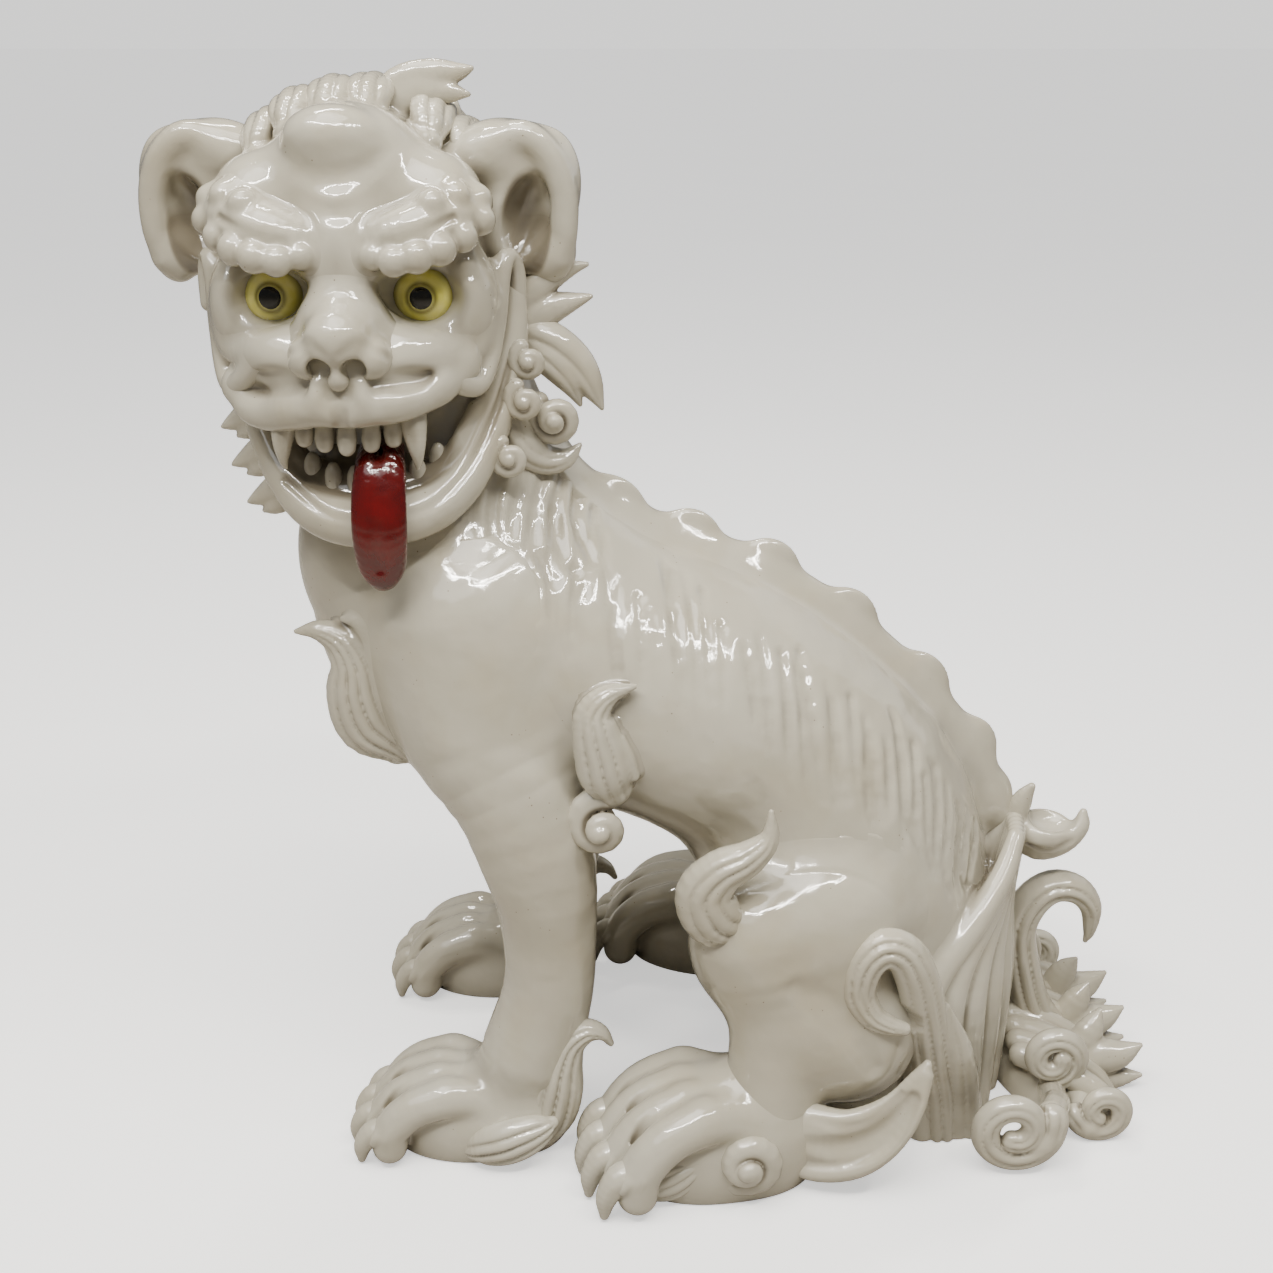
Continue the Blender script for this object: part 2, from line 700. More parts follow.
def fore_shell_tufts():
    lobes = [[(112, -98, 9, 6, 7), (118, -88, 14, 12, 9), (121, -76, 19, 14, 10), (121, -64, 24, 13, 9),
        (119, -54, 28, 9, 7), (117, -49, 30, 4, 4)]]
    return both_sides(tuft(lobes, step=0.9, flutes=4, depth=0.5))


def knee_tufts():
    lobes = [[(120, 54, 162, 12, 11), (127, 42, 172, 17, 13), (129, 37, 188, 16, 13),
        (129, 46, 201, 13, 12),
        (129, 60, 209, 10, 10), (128, 71, 220, 6, 7), (127, 72, 236, 1.5, 2)]]
    return both_sides(tuft(lobes, flutes=4))


def heel_fins():
    """Broad flange sweeping back from the hock, hollowed on its outer face."""
    form = Form()
    form.add(Strap([(121, 74, 38, 20, 15), (131, 96, 34, 20, 11), (137, 118, 34, 19, 9),
        (139, 136, 42, 17, 8),
        (139, 149, 57, 11, 6), (138, 158, 74, 6, 5), (137, 163, 84, 2.5, 3)]))
    form.add(Limb([(132, 82, 16, 6), (141, 104, 14, 5.5), (146, 126, 20, 5), (147, 144, 35, 4.5),
        (144, 157, 56, 4),
        (140, 163, 78, 3)]), 4)
    form.cut(Limb([(146, 92, 36, 3), (150, 110, 34, 8), (151, 128, 38, 9), (149, 143, 50, 7),
        (145, 154, 66, 3)]), 5)
    form.cut(Limb([(142, 100, 50, 0.6), (145, 118, 47, 1.6), (146, 134, 54, 1.4), (142, 148, 68, 0.6)]), 4)
    return both_sides(sculpt(form, 1.1))


def hock_curls():
    return both_sides(snail((147, 62, 29), 18, 8, 1.55, 200, 13))


def hind_shell_tufts():
    lobes = [[(144, -2, 7, 5, 7), (148, 8, 12, 11, 9), (150, 20, 17, 13, 9), (149, 32, 25, 9, 8),
        (147, 40, 33, 4, 5), (146, 46, 38, 1.5, 2)]]
    return both_sides(tuft(lobes, step=0.9, flutes=4))


def hip_locks(parent):
    form = Form()
    form.add(Strap([(84, 184, -4, 13, 12), (92, 180, 30, 13, 11), (104, 172, 64, 13, 11),
        (114, 165, 96, 13, 11), (121, 158, 126, 12.5, 11), (124, 149, 146, 12, 11),
        (125, 137, 151, 11.5, 11), (126, 127, 142, 11, 11), (126, 124, 124, 10, 10),
        (127, 131, 110, 8, 9), (128, 141, 104, 6, 8), (129, 150, 102, 4, 5)],
        (1, 0, 0.2), flutes=4, depth=0.4))
    form.add(Strap([(82, 198, -4, 12, 11), (92, 194, 34, 11, 10), (106, 186, 72, 9, 9),
        (116, 176, 108, 2, 3)],
        (1, 0, 0.2), flutes=2, depth=0.35), 2)
    return both_sides(sculpt(form, 1.1, parent, 6))


def tail_root(parent):
    """Mound of flattened locks from which the scrolls spring."""
    form = Form().add(Egg((0, 258, 2), (70, 33, 31)))
    for index in range(9):
        lean = (index - 4) / 4
        form.add(Limb([(lean * 46, 240, 36 - 8 * abs(lean), 8), (lean * 58, 262, 32 - 8 * abs(lean), 8.5),
            (lean * 68, 283, 20 - 4 * abs(lean), 7.5), (lean * 74, 293, 6, 6)]), 1.5)
    return sculpt(form, 1.3, parent, 6)


def tail_plume(parent):
    """Fan of flutes hugging the rump and gathering to a stalk."""
    form = Form()
    for index in range(13):
        bearing = (index - 6) / 6 * 78
        rows = []
        for z, keep, reach, thick in ((-8, 0.92, 1.03, 9), (40, 0.97, 1.06, 10), (84, 1.0, 1.07, 10.5),
                (112, 0.90, 1.05, 9.5), (136, 0.66, 1.05, 8.5), (156, 0.42, 1.09, 7),
                (172, 0.24, 1.13, 5.5)):
            angle = math.radians(bearing * keep)
            rows.append((88 * reach * math.sin(angle), 149 + 74 * reach * math.cos(angle), z, thick))
        form.add(Limb(rows, steps=4), 0.9)
    form.add(Limb([(0, 200, -8, 30), (0, 200, 60, 30), (0, 204, 110, 22), (0, 218, 148, 11),
        (0, 230, 168, 8)], steps=3), 1.5)
    return sculpt(form, 1.5, parent, 6)


def tail_top_curl():
    """Shallow bowl with a rolled rim and a horn that finish the tail."""
    form = Form()
    form.add(Egg((5, 251, 163), (17, 19, 12)))
    form.add(Limb([(-6, 238, 158, 9), (6, 248, 153, 9), (10, 262, 158, 8), (10, 272, 168, 6),
        (9, 274, 177, 2.5)]), 4)
    form.add(Limb([(0, 235, 158, 11), (2, 235, 172, 8.5), (5, 237, 184, 6), (8, 241, 194, 2.5)]), 4)
    form.cut(Egg((9, 255, 174), (12, 14, 9)), 3)
    form.cut(Limb([(16, 240, 160, 0.8), (21, 252, 156, 1.8), (19, 266, 162, 0.8)]), 3)
    return sculpt(form, 1.0)


def tail_hook():
    path = [(4, 272, 16, 12, 15), (4, 256, 36, 12, 15), (4, 247, 62, 12, 15), (4, 242, 92, 11, 14),
        (4, 248, 112, 11, 13), (4, 261, 123, 10, 12), (4, 276, 121, 9, 11), (4, 286, 109, 7, 9),
        (4, 287, 92, 4, 5), (4, 285, 84, 1.5, 2)]
    return sculpt(Form().add(Strap(path, flutes=3, depth=0.4)), 1.1)


def banded(rows):
    """Flattened coil with grooves along it, through rows of (x, y, z, size)."""
    return Strap([(x, y, z, size * 1.12, size) for x, y, z, size in rows], flutes=3, depth=0.42)


def tail_scrolls():
    """Open scrolls of grooved coil to both sides of the tail root."""
    big = [(58, 256, 12, 8), (88, 252, 22, 8.5), (110, 243, 30, 8.5)]
    coil = flat_spiral((120, 219, 30), 22, -1.3, 9.2, 10, rise=4, inner=0.36)
    pieces = [sculpt(Form().add(Limb(big + coil[1:3], steps=2)).add(banded(coil), 1), 1.1)]
    small = flat_spiral((62, 254, 38), 16, 1.25, 8.2, -80, rise=5, inner=0.34)
    pieces.append(sculpt(Form().add(banded(small)), 1.1))
    rear = flat_spiral((90, 279, 20), 15, 1.1, 7.6, 200, rise=3, inner=0.36)
    stem = Limb([(58, 270, 8, 7), (72, 272, 12, 7)] + rear[1:3], steps=2)
    pieces.append(sculpt(Form().add(stem).add(banded(rear), 1), 1.1))
    return both_sides(joined(pieces))


def tail_flames():
    made = []
    for x, lean in ((-34, -8), (0, 0), (34, 8)):
        form = Form()
        form.add(Strap([(x, 276, 8, 15, 11), (x + lean * 0.4, 289, 20, 13, 11),
            (x + lean * 0.8, 302, 24, 9, 8),
            (x + lean, 315, 32, 1.5, 2)]))
        form.add(Strap([(x, 276, 18, 10, 9), (x, 284, 36, 9, 8), (x - lean * 0.5, 291, 50, 1.5, 2)]), 2)
        form.add(Strap([(x, 284, 4, 10, 9), (x + lean * 0.5, 300, 6, 8, 8), (x + lean, 317, 10, 1.5, 2)]),
            2)
        made.append(sculpt(form, 1.1))
    return joined(made)


# ------------------------------------------------------------------ head, in its own frame
def skull_form():
    form = Form()
    form.add(Egg((0, 2, 0), (63, 72, 82)))
    form.add(Egg((0, -34, 54), (36, 30, 30)), 18)
    form.add(Egg((0, -30, -34), (56, 42, 44)), 14)
    form.add(Egg((0, -52, 10), (17, 24, 34)), 14)
    for side in (-1, 1):
        form.add(Egg((side * 46, -34, 34), (24, 28, 26)), 14)
        form.add(Egg((side * 60, -30, -16), (16, 28, 28)), 12)
        form.add(Egg((side * 34, -54, -34), (24, 22, 14), (0, side * 14, 0)), 12)
        form.cut(Egg((side * 39, -66, -9), (23, 22, 15), (0, side * 6, 0)), 7)
    form.cut(Egg((2, -58, -96), (38, 46, 30)), 8)
    return form


def head():
    """Skull with the domed forehead, its crescent furrows and the roof of the mouth."""
    form = skull_form()
    form.add(Egg((-4, -50, 68), (24, 17, 16)), 5)
    for rows in (((-32, -60, 58, 1.5), (-25, -64, 54, 3.4), (-10, -69, 50, 4.2), (6, -69, 51, 4.2),
            (19, -64, 56, 3.4), (27, -58, 63, 1.5)),
            ((-26, -66, 42, 0.8), (-15, -73, 37, 3.2), (0, -75, 34, 3.8), (14, -73, 37, 3.2),
            (25, -66, 44, 0.8))):
        form.cut(Limb(rows), 6)
    for side in (-1, 1):
        lid = [(side * 19, -62, -16, 2.4), (side * 27, -60, -24, 3.2), (side * 38, -58, -28, 3.6),
            (side * 49, -54, -25, 3.2), (side * 58, -46, -15, 2.2)]
        form.add(Limb(lid), 5)
        form.add(Limb([(side * 62, -38, 2, 2), (side * 66, -32, -12, 3), (side * 68, -30, -28, 2)]), 6)
    return shaded(sculpt(form, 1.3, floor=False), MOUTH)


MOUTH = Egg((4, -42, -92), (50, 40, 27))


def shaded(piece, hollow):
    """Glaze shade deepened inside a hollow."""
    inner = (((piece.points - hollow.centre) / hollow.radii) ** 2).sum(axis=1)
    piece.pool = piece.pool + np.clip((1.15 - inner) * 3.0, 0, 1)
    return piece


def muzzle(parent):
    """Snout with the thick rolled upper lip, turned up in knobs at both ends."""
    form = Form()
    form.add(Egg((0, -54, -42), (38, 31, 22)))
    form.add(Egg((0, -70, -46), (27, 18, 15)), 10)
    for side in (-1, 1):
        form.add(Egg((side * 47, -44, -46), (17, 20, 17)), 8)
    for side in (-1, 1):
        form.add(Egg((side * 27, -64, -42), (20, 17, 15)), 10)
    lip = [(-59, -50, -58, 8.5), (-51, -60, -66, 9), (-38, -68, -67, 10), (-24, -77, -63, 11),
        (-11, -83, -61, 10), (0, -84, -62, 9.5), (11, -83, -61, 10), (25, -78, -59, 11),
        (38, -70, -57, 10), (49, -61, -52, 9.5), (57, -52, -45, 9)]
    form.add(Limb(lip), 6)
    for x, y, z, r in ((-59, -50, -56, 10), (45, -65, -52, 10.5), (57, -51, -43, 10)):
        form.add(ball((x, y, z), r), 4)
    form.cut(Limb([(0, -96, -52, 1.6), (0, -94, -62, 2.2), (0, -90, -70, 1.6)]), 6)
    for side in (-1, 1):
        form.add(Limb([(side * 11, -88, -48, 3), (side * 12, -90, -55, 3.6), (side * 16, -88, -62, 3)]), 5)
        form.cut(Limb([(side * 21, -88, -47, 1.5), (side * 30, -83, -47, 3.6), (side * 39, -76, -46, 3.4),
            (side * 46, -68, -44, 1.2)]), 7)
    form.cut(Egg((0, -54, -92), (48, 34, 24)), 5)
    return sculpt(form, 1.1, parent, 8, floor=False)


def nose(parent):
    """Short broad nose with two round nostrils."""
    form = Form()
    form.add(Limb([(0, -54, 8, 7), (0, -65, -4, 8.5), (0, -77, -16, 11), (0, -84, -27, 15)]))
    form.add(Egg((0, -87, -26), (16, 14, 14)), 6)
    for side in (-1, 1):
        form.add(Egg((side * 15, -83, -36), (11.5, 12, 11)), 4)
        form.add(Egg((side * 10, -68, -22), (13, 14, 16)), 10)
    form.add(Egg((0, -88, -44), (6, 9, 8)), 4)
    for side in (-1, 1):
        form.cut(Limb([(side * 8, -104, -41, 5.4), (side * 9, -92, -40, 5.8), (side * 11, -84, -37, 4)]),
            2.5)
        form.cut(Limb([(side * 5, -102, -32, 0.8), (side * 13, -100, -27, 1.8), (side * 22, -94, -29, 1.6),
            (side * 27, -86, -36, 0.8)]), 5)
    return sculpt(form, 1.0, parent, 8, floor=False)


def cheek_fold(parent):
    """Thin fold hooking round the end of the lip and rising to a loop; left side."""
    form = Form()
    form.add(Limb([(42, -66, -40, 4), (50, -63, -46, 6), (58, -56, -54, 6.5), (65, -47, -55, 6.5),
        (70, -38, -44, 6), (73, -30, -28, 5.5), (75, -24, -12, 5.2), (77, -20, 2, 5.2),
        (80, -14, 5, 5), (83, -9, -4, 5), (83, -9, -20, 5)]))
    form.add(Limb([(44, -60, -32, 4), (55, -55, -38, 6), (63, -46, -38, 6), (67, -38, -28, 5),
        (69, -30, -14, 3)]), 6)
    return sculpt(form, 1.1, parent, 7, floor=False)


def lower_jaw(parent):
    """U-shaped lip roll with an inner ridge and the floor of the mouth; its ends rise to the cheeks."""
    form = Form()
    form.add(Limb([(82, -8, -14, 6), (80, -14, -38, 9), (74, -24, -64, 11), (66, -36, -88, 11.5),
        (55, -48, -108, 12), (38, -58, -121, 13), (14, -63, -127, 13.5), (-8, -62, -126, 13.5),
        (-26, -54, -119, 13), (-41, -42, -104, 12), (-54, -28, -82, 10), (-60, -20, -64, 8)]))
    form.add(Limb([(62, -34, -72, 5), (52, -44, -92, 6.5), (40, -50, -105, 7), (14, -54, -112, 7.5),
        (-12, -52, -111, 7), (-32, -44, -98, 6.5), (-44, -32, -80, 5)]), 3)
    form.add(Egg((4, -32, -110), (46, 32, 17), (14, 0, 0)), 8)
    form.add(Egg((4, -18, -122), (46, 38, 22)), 8)
    form.cut(Limb([(80, -26, -48, 0.8), (73, -38, -72, 1.4), (60, -56, -98, 1.6), (40, -71, -116, 1.4),
        (14, -77, -121, 1.2), (-12, -75, -120, 1.2), (-38, -57, -106, 0.8)]), 4)
    return shaded(sculpt(form, 1.2, parent, 7, floor=False), MOUTH)


def tooth(rows):
    return sculpt(Form().add(Limb(rows)), 0.7, floor=False)


def upper_incisors():
    teeth = []
    for x, z in ((-23, -75), (-12, -77), (0, -78), (12, -77), (23, -75)):
        y = -77 + abs(x) * 0.28
        teeth.append(tooth([(x, y + 2, z + 6, 4.6), (x, y, z - 1, 5.2), (x, y - 0.5, z - 5, 4.6)]))
    return joined(teeth)


def upper_fangs():
    return joined([tooth(rows) for rows in sides([(33, -64, -62, 7.5), (33.5, -69, -72, 7),
        (34.5, -71, -82, 5.2),
        (35, -70, -91, 2.8), (34.5, -68, -96, 1.2)])])


def lower_teeth():
    teeth = []
    for x, y, z in ((-24, -51, -101), (-12, -57, -105), (0, -59, -106), (32, -53, -103), (42, -46, -97)):
        teeth.append(tooth([(x, y, z - 8, 4.8), (x, y - 0.5, z + 2, 4.8), (x, y - 0.5, z + 6, 3.4)]))
    return joined(teeth)


def tongue():
    """Long tongue rolled over the lower lip, with a furrow down its middle."""
    form = Form().add(Strap([(13, -44, -92, 11, 5), (14, -58, -92, 12.5, 5), (15, -72, -98, 13.5, 5.5),
        (15, -80, -112, 14.5, 5.5), (15, -82, -128, 14.5, 5.5), (15, -80, -143, 13, 5),
        (15, -78, -151, 9, 4)], (0, -1, 0.25)))
    form.cut(Limb([(14, -62, -85, 1), (15, -80, -92, 1.8), (15, -90, -112, 2.2), (15, -91, -130, 2),
        (15, -87, -146, 1)]), 5)
    return sculpt(form, 0.9, floor=False)


def eyeballs():
    """Two balls; the shade darkens round the pupil and at the lids."""
    balls = []
    for side in (-1, 1):
        piece = sculpt(Form().add(ball((side * 38, -42, -11), 17)), 1.0, floor=False)
        away = np.hypot(piece.points[:, 0] - side * 38.5, piece.points[:, 2] + 10)
        ring = np.exp(-((away - 7.2) / 1.3) ** 2)
        piece.pool = np.clip(ring * 0.9 + np.clip((away - 12.0) / 4.0, 0, 1), 0, 1)
        balls.append(piece)
    return joined(balls)


def pupils():
    return joined([sculpt(Form().add(Egg((side * 38.5, -58.4, -10), (5.8, 2.2, 5.8), (0, 0, side * 3))),
        0.5, floor=False)
        for side in (-1, 1)])


def brow(parent):
    """Puffy cloud-like roll over one eye with knuckled edges; left side."""
    form = Form()
    form.add(Limb([(18, -64, 17, 10), (28, -67, 21, 13), (42, -64, 25, 14), (56, -54, 30, 12.5),
        (66, -42, 35, 9)]))
    for x, y, z, r in ((19, -74, 13, 7), (29, -79, 11, 8), (40, -78, 13, 8.5), (51, -72, 16, 8.5),
            (61, -62, 21, 8),
            (69, -50, 28, 8), (68, -46, 38, 7), (58, -57, 40, 7.5), (47, -66, 37, 7.5)):
        form.add(ball((x, y, z), r), 2.5)
    form.cut(Limb([(24, -81, 21, 0.6), (34, -83, 22, 1.3), (46, -80, 26, 1.5), (58, -68, 31, 0.8)]), 4)
    return sculpt(form, 1.0, parent, 7, floor=False)


def ear(parent):
    """Drooping cupped ear with a rolled rim and a deep hollow; left side."""
    form = Form()
    form.add(Egg((90, 2, 32), (26, 15, 40), (0, 18, 0)))
    form.add(Egg((70, 2, 58), (26, 17, 16), (0, -14, 0)), 10)
    form.cut(Egg((89, -17, 24), (14, 22, 26), (0, 20, 0)), 5)
    form.add(Limb([(72, -6, 62, 6), (88, -9, 67, 7), (101, -9, 57, 7), (109, -8, 38, 6.5), (110, -7, 18, 6),
        (107, -4, 4, 5.5)]), 6)
    form.add(Egg((102, 2, 4), (12, 11, 15), (0, 14, 0)), 6)
    return shaded(sculpt(form, 1.1, parent, 8, floor=False), Egg((89, -8, 20), (13, 14, 27)))


def crown_tufts(parent):
    """Short locks combed back over the crown."""
    made = []
    for x, y, z, lean in ((-50, 0, 68, -40), (-32, -2, 80, -22), (-12, 0, 86, -8), (8, 4, 87, 8),
            (58, 14, 62, 48), (40, 10, 75, 30)):
        face = (math.sin(math.radians(lean)), 0, math.cos(math.radians(lean)))
        form = Form()
        form.add(Strap([(x, y - 20, z - 10, 7, 5), (x, y - 12, z - 2, 12, 7), (x, y, z + 3, 13, 7.5),
            (x + 3, y + 12, z + 3, 9, 7), (x + 7, y + 24, z + 3, 1.5, 2)], face, flutes=3, depth=0.45))
        made.append(sculpt(form, 1.0, parent, 5, floor=False))
    return joined(made)


def face_tuft(lobes, parent, flutes=0):
    """Flame tuft lying flat to the front of the head."""
    return tuft(lobes, parent, face=(0, 1, 0), flutes=flutes, depth=0.3, floor=False)


def crown_leaf(parent):
    return face_tuft([[(8, 10, 78, 8, 6), (22, 11, 90, 10, 6), (38, 13, 95, 9, 6), (52, 14, 97, 5, 4),
        (60, 14, 99, 1.5, 2)],
        [(14, 9, 78, 8, 6), (30, 10, 86, 9, 6), (46, 12, 87, 6, 5), (58, 13, 86, 1.5, 2)]], parent)


def mane_leaf(parent):
    """Pointed three-lobed leaf behind the ear."""
    return face_tuft([[(66, 8, -36, 9, 8), (82, 4, -22, 10, 8), (98, 3, -9, 8, 7), (112, 4, -3, 4, 4),
        (120, 4, -1, 1.5, 2)],
        [(66, 8, -42, 9, 8), (84, 3, -34, 10, 8), (102, 2, -24, 8, 7), (115, 3, -20, 4, 4),
        (122, 3, -18, 1.5, 2)],
        [(64, 6, -50, 9, 8), (80, 2, -46, 9, 8), (94, 1, -40, 7, 6), (106, 2, -36, 1.5, 2)]], parent)


def mane_lock(parent):
    """Fluted lock below the leaf, turning back to a spike."""
    return face_tuft([[(84, 4, -38, 10, 9), (98, -1, -42, 12, 10), (112, -3, -52, 11, 9),
        (121, -4, -64, 8, 7), (128, -4, -78, 1.5, 2)],
        [(88, 2, -46, 8, 8), (100, -4, -52, 9, 9), (110, -5, -63, 7, 7), (116, -4, -76, 1.5, 2)]],
        parent, 2)


def mane_swoop(parent):
    """Lock sweeping from under the ear round below the snail curl."""
    return face_tuft([[(72, -16, -60, 8, 9), (76, -20, -78, 10, 10), (84, -20, -94, 11, 10),
        (96, -16, -104, 9, 9), (108, -14, -104, 6, 6), (116, -12, -97, 1.5, 2)]],
        parent, 3)


def mane_snail(parent):
    return snail((103, -16, -80), 12, 6, 1.6, 140, 14, axis="y", parent=parent)


def jaw_curls(parent):
    made = []
    for x, y, z, radius in ((90, -24, -48, 8.5), (88, -32, -68, 9.0), (80, -40, -97, 9.5)):
        made.append(snail((x, y, z), radius, 4.4, 1.4, 120, 6, axis="y", step=0.9, parent=parent))
    return joined(made)


def jaw_spikes(parent):
    """Pointed locks down the right edge of the jaw."""
    made = []
    for x, y, z in ((-69, -22, -80), (-64, -26, -100), (-56, -30, -120)):
        made.append(face_tuft([[(x + 22, y, z + 14, 9, 8), (x + 8, y - 2, z + 4, 8, 7),
            (x - 2, y, z - 2, 5, 5), (x - 9, y, z - 5, 1.5, 2)],
            [(x + 20, y, z + 4, 7, 7), (x + 8, y - 2, z - 5, 6, 6), (x - 1, y, z - 10, 1.5, 2)]], parent))
    return joined(made)


def mane_back_locks(parent):
    """Rows of locks that close the mane round the back of the head."""
    made = []
    for up, count, share in ((40, 4, 1.0), (4, 5, 1.0), (-34, 5, 60 / 66)):
        for index in range(count):
            bearing = math.radians(90 + (index - (count - 1) / 2) * 30)
            outward = np.array((math.cos(bearing), math.sin(bearing)))
            x, y = 65 * share * outward[0], 73 * share * outward[1]
            rows = []
            for lift, push, wide, thick in ((34, -10, 15, 9), (22, -2, 18, 11), (4, 3, 18, 11),
                    (-14, 6, 15, 10),
                    (-30, 9, 9, 7), (-42, 15, 1.5, 2)):
                bend = 7 * math.sin(lift * 0.09 + index) * (34 - lift) / 76
                rows.append((x + push * outward[0] - bend * outward[1],
                    y + push * outward[1] + bend * outward[0],
                    up + lift, wide, thick))
            form = Form().add(Strap(rows, (outward[0], outward[1], 0), flutes=4, depth=0.45))
            made.append(sculpt(form, 1.3, parent, 5, floor=False))
    return joined(made)


# ------------------------------------------------------------------ glazes
class Glaze:
    """Node material builder for glazed clay."""

    def __init__(self, name):
        self.material = bpy.data.materials.new(name)
        self.material.use_nodes = True
        self.nodes = self.material.node_tree.nodes
        self.links = self.material.node_tree.links
        self.surface = self.nodes["Principled BSDF"]
        self.place = self.nodes.new("ShaderNodeTexCoord").outputs["Object"]

    def put(self, socket, value):
        if hasattr(value, "is_linked"):
            self.links.new(value, socket)
        else:
            socket.default_value = value

    def node(self, kind, output, settings=None, **inputs):
        """Output of a new node; inputs are named with _ for each space."""
        node = self.nodes.new("ShaderNode" + kind)
        for name, value in (settings or {}).items():
            setattr(node, name, value)
        for name, value in inputs.items():
            self.put(node.inputs[name.replace("_", " ")], value)
        return node.outputs[output]

    def noise(self, scale, detail=3.0):
        return self.node("TexNoise", "Fac", Scale=scale, Detail=detail, Roughness=0.5, Vector=self.place)

    def specks(self, scale):
        return self.node("TexVoronoi", "Distance", Scale=scale, Vector=self.place)

    def ramp(self, value, low, high, start=0.0, stop=1.0):
        return self.node("MapRange", "Result", Value=value, From_Min=low, From_Max=high,
            To_Min=start, To_Max=stop)

    def times(self, a, b):
        node = self.nodes.new("ShaderNodeMath")
        node.operation = "MULTIPLY"
        self.put(node.inputs[0], a)
        self.put(node.inputs[1], b)
        return node.outputs[0]

    def mix(self, share, a, b):
        """Colour between two colours, each given as three numbers or as a socket."""
        a, b = (value if hasattr(value, "is_linked") else (*value, 1) for value in (a, b))
        return self.node("Mix", "Result", {"data_type": "RGBA"}, Factor=share, A=a, B=b)

    def mottled(self, scale, dark, light):
        """Two tones of one colour in soft patches."""
        return self.mix(self.ramp(self.noise(scale), 0.35, 0.7), dark, light)

    def uneven(self, scale, low, high):
        """Roughness that drifts between two values."""
        return self.ramp(self.noise(scale), 0.3, 0.7, low, high)

    def pool(self):
        return self.node("Attribute", "Fac", {"attribute_name": "pool"})

    def bump(self, height, strength, distance, normal=None):
        below = {} if normal is None else {"Normal": normal}
        return self.node("Bump", "Normal", Strength=strength, Distance=distance, Height=height, **below)

    def finish(self, colour, roughness, normal, coat):
        values = {"Base Color": colour, "Roughness": roughness, "Normal": normal, "IOR": 1.52,
            "Coat Weight": coat, "Coat Roughness": 0.035}
        for name, value in values.items():
            self.put(self.surface.inputs[name], value)
        return self.material


def white_glaze():
    """Ivory glaze, yellower where it is thin and brown where it pools in recesses."""
    glaze = Glaze("white_glaze")
    pooled = glaze.pool()
    base = glaze.mottled(9.0, (0.42, 0.385, 0.30), (0.48, 0.452, 0.37))
    base = glaze.mix(glaze.ramp(glaze.noise(26.0), 0.52, 0.72, 0.0, 0.35), base, (0.39, 0.335, 0.225))
    base = glaze.mix(glaze.ramp(pooled, 0.28, 0.95, 0.0, 0.85), base, (0.15, 0.125, 0.085))
    base = glaze.mix(glaze.ramp(pooled, 1.0, 1.9, 0.0, 0.92), base, (0.050, 0.040, 0.026))
    pinhole = glaze.ramp(glaze.specks(210.0), 0.05, 0.10, 1.0, 0.0)
    rare = glaze.ramp(glaze.noise(46.0, 1.0), 0.60, 0.64)
    base = glaze.mix(glaze.times(pinhole, rare), base, (0.17, 0.13, 0.09))
    slow = glaze.bump(glaze.noise(42.0, 2.0), 0.36, 0.0038)
    fine = glaze.bump(glaze.noise(210.0, 2.0), 0.10, 0.0008, slow)
    return glaze.finish(base, glaze.uneven(38.0, 0.06, 0.15), fine, 0.9)


def red_glaze():
    glaze = Glaze("red_glaze")
    base = glaze.mottled(60.0, (0.055, 0.0006, 0.0006), (0.10, 0.001, 0.001))
    base = glaze.mix(glaze.ramp(glaze.pool(), 0.3, 1.0), base, (0.03, 0.001, 0.001))
    return glaze.finish(base, glaze.uneven(70.0, 0.10, 0.20), glaze.bump(glaze.noise(120.0),
        0.35, 0.0015), 0.6)


def yellow_glaze():
    glaze = Glaze("yellow_glaze")
    base = glaze.mottled(90.0, (0.74, 0.69, 0.13), (0.85, 0.80, 0.27))
    base = glaze.mix(glaze.pool(), base, (0.17, 0.15, 0.02))
    return glaze.finish(base, glaze.uneven(80.0, 0.08, 0.16), glaze.bump(glaze.noise(160.0), 0.2, 0.001),
        0.6)


def black_glaze():
    glaze = Glaze("black_glaze")
    base = glaze.mix(glaze.ramp(glaze.noise(300.0), 0.4, 0.7), (0.004, 0.004, 0.003), (0.012, 0.011, 0.006))
    return glaze.finish(base, glaze.uneven(90.0, 0.06, 0.14), glaze.bump(glaze.noise(260.0), 0.2, 0.0008),
        0.0)


# ------------------------------------------------------------------ placing pieces
GLAZES = {"white_glaze": white_glaze(), "red_glaze": red_glaze(),
    "yellow_glaze": yellow_glaze(), "black_glaze": black_glaze()}


def into_scene(thing):
    bpy.context.scene.collection.objects.link(thing)
    return thing


def place(node, piece, glaze="white_glaze"):
    """One mesh object for one node of the part."""
    mesh = bpy.data.meshes.new(node)
    points = (piece.points / 1000 + ORIGIN).astype(np.float32)
    count = len(piece.quads)
    mesh.vertices.add(len(points))
    mesh.vertices.foreach_set("co", points.ravel())
    mesh.loops.add(count * 4)
    mesh.loops.foreach_set("vertex_index", piece.quads.astype(np.int32).ravel())
    mesh.polygons.add(count)
    mesh.polygons.foreach_set("loop_start", np.arange(0, count * 4, 4, dtype=np.int32))
    mesh.polygons.foreach_set("use_smooth", np.ones(count, bool))
    mesh.update(calc_edges=True)
    mesh.attributes.new("pool", "FLOAT", "POINT").data.foreach_set("value", piece.pool.astype(np.float32))
    mesh.materials.append(GLAZES[glaze])
    thing = into_scene(bpy.data.objects.new(node + "_look", mesh))
    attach(thing, "root")
    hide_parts(node)


def place_twins(node, piece, on_head=False):
    """A left piece and its mirror image on the right."""
    for side, twin in (("left_", piece), ("right_", piece.mirrored())):
        place(side + node, twin.on_head() if on_head else twin)


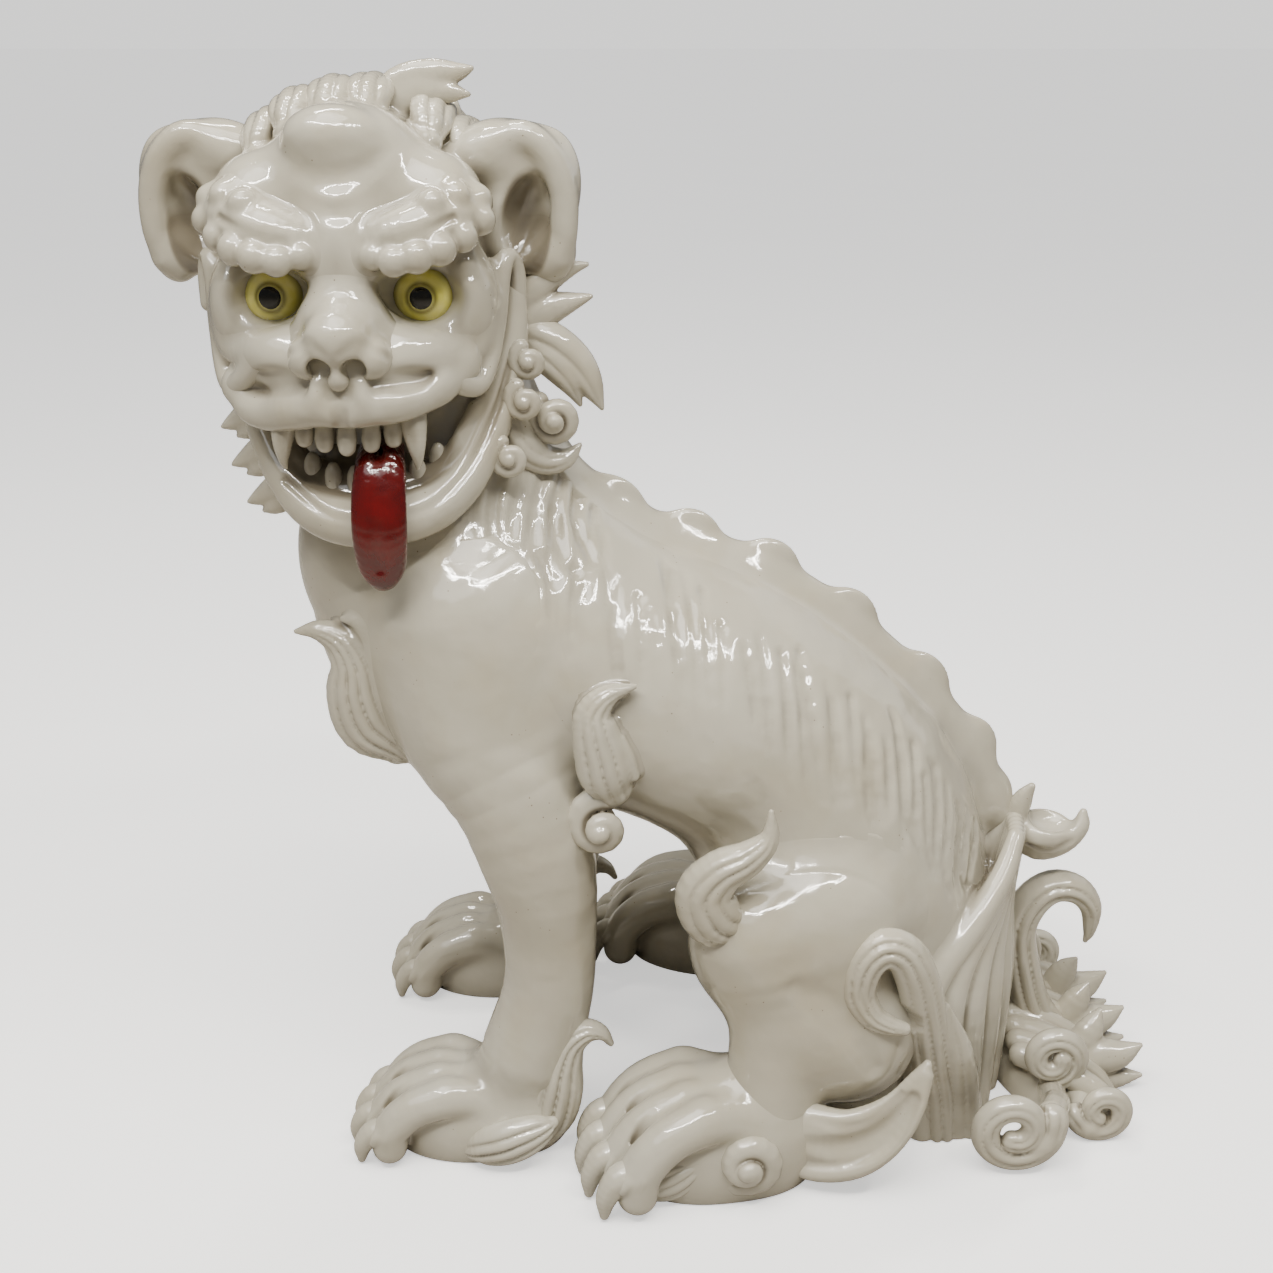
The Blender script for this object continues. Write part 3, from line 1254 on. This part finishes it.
def place_body():
    trunk = torso_form()
    place("torso", torso())
    place("dorsal_crest", dorsal_crest(trunk))
    place_twins("foreleg", foreleg(trunk))
    place_twins("haunch", haunch(trunk))
    place_twins("hind_paw", hind_paw())
    place_twins("fore_claws", FORE_PAW.claws())
    place_twins("hind_claws", HIND_PAW.claws())
    for make in (chest_tufts, elbow_tufts, elbow_curls):
        place(make.__name__, make(trunk))
    for make in (heel_tufts, fore_shell_tufts, knee_tufts, heel_fins, hock_curls, hind_shell_tufts):
        place(make.__name__, make())
    for make in (hip_locks, tail_root, tail_plume):
        place(make.__name__, make(trunk))
    for make in (tail_top_curl, tail_hook, tail_scrolls, tail_flames):
        place(make.__name__, make())


def place_head():
    skull = skull_form()
    place("head", head().on_head())
    for make in (muzzle, nose):
        place(make.__name__, make(skull).on_head())
    place_twins("cheek_fold", cheek_fold(skull), on_head=True)
    place("lower_jaw", lower_jaw(skull).on_head())
    for make in (upper_incisors, upper_fangs, lower_teeth):
        place(make.__name__, make().on_head())
    place("tongue", tongue().on_head(), "red_glaze")
    place("eyeballs", eyeballs().on_head(), "yellow_glaze")
    place("pupils", pupils().on_head(), "black_glaze")
    place_twins("brow", brow(skull), on_head=True)
    place_twins("ear", ear(skull), on_head=True)
    for make in (crown_tufts, crown_leaf, mane_leaf, mane_lock, mane_swoop, mane_snail, jaw_curls,
            jaw_spikes, mane_back_locks):
        place(make.__name__, make(skull).on_head())


# ------------------------------------------------------------------ stage, lamps, camera
WARM = (1.0, 0.965, 0.90)
AIM = Vector((0, 0, 0.3))
ROOM_LIGHT = 0.20                       # strength of the room as a light
ROOM_SEEN = 1.42                        # strength of the room as the camera sees it


def floor():
    """Pale seamless ground; seen directly it is bright, the light it throws back is weaker."""
    mesh = bpy.data.meshes.new("floor")
    reach = 60.0                        # metres
    mesh.from_pydata([(x * reach, y * reach, 0) for x, y in ((-1, -1), (1, -1), (1, 1), (-1, 1))], [],
        [(0, 1, 2, 3)])
    glaze = Glaze("floor")
    seen = glaze.nodes.new("ShaderNodeLightPath").outputs["Is Camera Ray"]
    pale = glaze.mix(glaze.ramp(glaze.noise(1.5), 0.3, 0.7), (0.80, 0.795, 0.785), (0.83, 0.825, 0.815))
    normal = glaze.bump(glaze.noise(60.0), 0.05, 0.0005)
    glaze.finish(glaze.mix(seen, (0.36, 0.33, 0.28), pale), 0.6, normal, 0.0)
    glaze.surface.inputs["Emission Color"].default_value = (1.0, 0.995, 0.985, 1)
    glaze.put(glaze.surface.inputs["Emission Strength"], glaze.times(seen, 0.85))
    mesh.materials.append(glaze.material)
    into_scene(bpy.data.objects.new("floor", mesh))


def lamp(name, spot, size, power, colour=WARM, breadth=None):
    """Square lamp, or a long one when breadth is given, aimed at the middle of the statue."""
    data = bpy.data.lights.new(name, "AREA")
    data.energy = power
    data.size = size
    if breadth:
        data.shape = "RECTANGLE"
        data.size_y = breadth
    data.color = colour
    thing = into_scene(bpy.data.objects.new(name, data))
    thing.location = spot
    thing.rotation_euler = (AIM - Vector(spot)).to_track_quat("-Z", "Y").to_euler()


def studio():
    """Soft light from above, five thin tubes for crisp highlights, a wide sky and a dim room."""
    lamp("soft_top", (0.5, -0.2, 2.2), 1.2, 20)
    for index, (x, y) in enumerate(((0.9, -0.9), (1.2, -0.3), (1.0, 0.4), (0.7, 1.0), (-0.5, -0.4))):
        lamp("tube_%d" % index, (x, y, 2.0), 0.9, 17, breadth=0.03)
    lamp("rear_fill", (-1.4, 1.8, 1.4), 1.4, 4, (1, 1, 1))
    sky = bpy.data.lights.new("sky", "SUN")
    sky.energy = 1.1
    sky.angle = math.radians(50)
    high = into_scene(bpy.data.objects.new("sky", sky))
    high.rotation_euler = (math.radians(18), math.radians(22), 0)
    world = bpy.data.worlds.new("room")
    world.use_nodes = True
    nodes, links = world.node_tree.nodes, world.node_tree.links
    level = nodes.new("ShaderNodeMapRange")
    level.inputs["To Min"].default_value = ROOM_LIGHT
    level.inputs["To Max"].default_value = ROOM_SEEN
    links.new(nodes.new("ShaderNodeLightPath").outputs["Is Camera Ray"], level.inputs["Value"])
    links.new(level.outputs["Result"], nodes["Background"].inputs["Strength"])
    nodes["Background"].inputs["Color"].default_value = (0.90, 0.895, 0.88, 1)
    bpy.context.scene.world = world


def camera():
    """Camera at the dog's left, level with the top of its head and tilted down."""
    data = bpy.data.cameras.new("camera")
    data.lens = 46.4
    data.sensor_width = 36.0
    data.clip_start = 0.01
    thing = into_scene(bpy.data.objects.new("camera", data))
    thing.location = (0.915 + ORIGIN[0], ORIGIN[1], 0.627)
    thing.rotation_euler = (math.radians(90 - 20.3), 0, math.radians(90))
    bpy.context.scene.camera = thing


place_body()
place_head()
floor()
studio()
camera()
